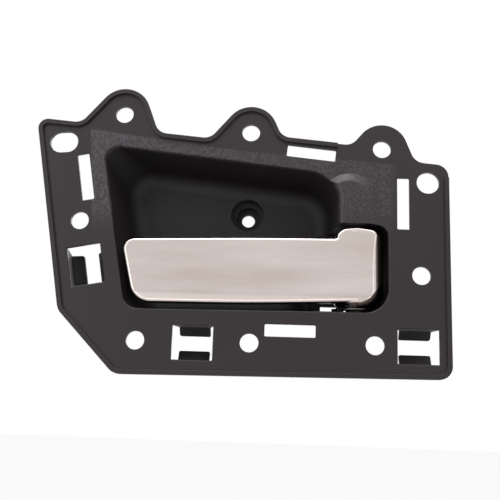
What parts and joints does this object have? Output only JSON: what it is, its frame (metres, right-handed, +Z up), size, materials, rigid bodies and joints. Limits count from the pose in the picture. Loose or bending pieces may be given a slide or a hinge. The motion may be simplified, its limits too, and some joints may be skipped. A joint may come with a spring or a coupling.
{
  "type": "car interior door handle",
  "caption": "Inner door release handle: a black moulded bezel with a finger pocket and a plated lever on an upright pin at its right.",
  "frame": {"origin": "on the axis of the fixing screw, in the plane where its head seats", "axes": "+X along the door towards the lever's pivot, +Y into the door, +Z up"},
  "size_m": [0.1946, 0.0456, 0.1359],
  "materials": {
    "black_plastic": "satin, fine grain",
    "plated_metal": "satin chrome",
    "pin_steel": "drawn",
    "spring_steel": "oiled",
    "bush_plastic": "smooth",
    "clip_plastic": "smooth",
    "bumper_rubber": "matte"
  },
  "bodies": {
    "bezel": {"bezel": "black_plastic", "pivot_pin": "pin_steel", "pin_clip": "spring_steel", "return_spring": "spring_steel", "rest_bumper": "bumper_rubber"},
    "lever": {"lever": "plated_metal", "upper_bush": "bush_plastic", "lower_bush": "bush_plastic", "rod_clip": "clip_plastic"}
  },
  "joints": [
    {"name": "lever_swing", "type": "hinge", "parent": "bezel", "child": "lever", "pos_m": [0.0522, -0.0318, -0.03055], "axis": [0, 0, 1], "range_deg": [0, 30], "stiffness_Nm_per_rad": 0.15, "springref_deg": -28.65, "deforming": ["return_spring"]}
  ]
}
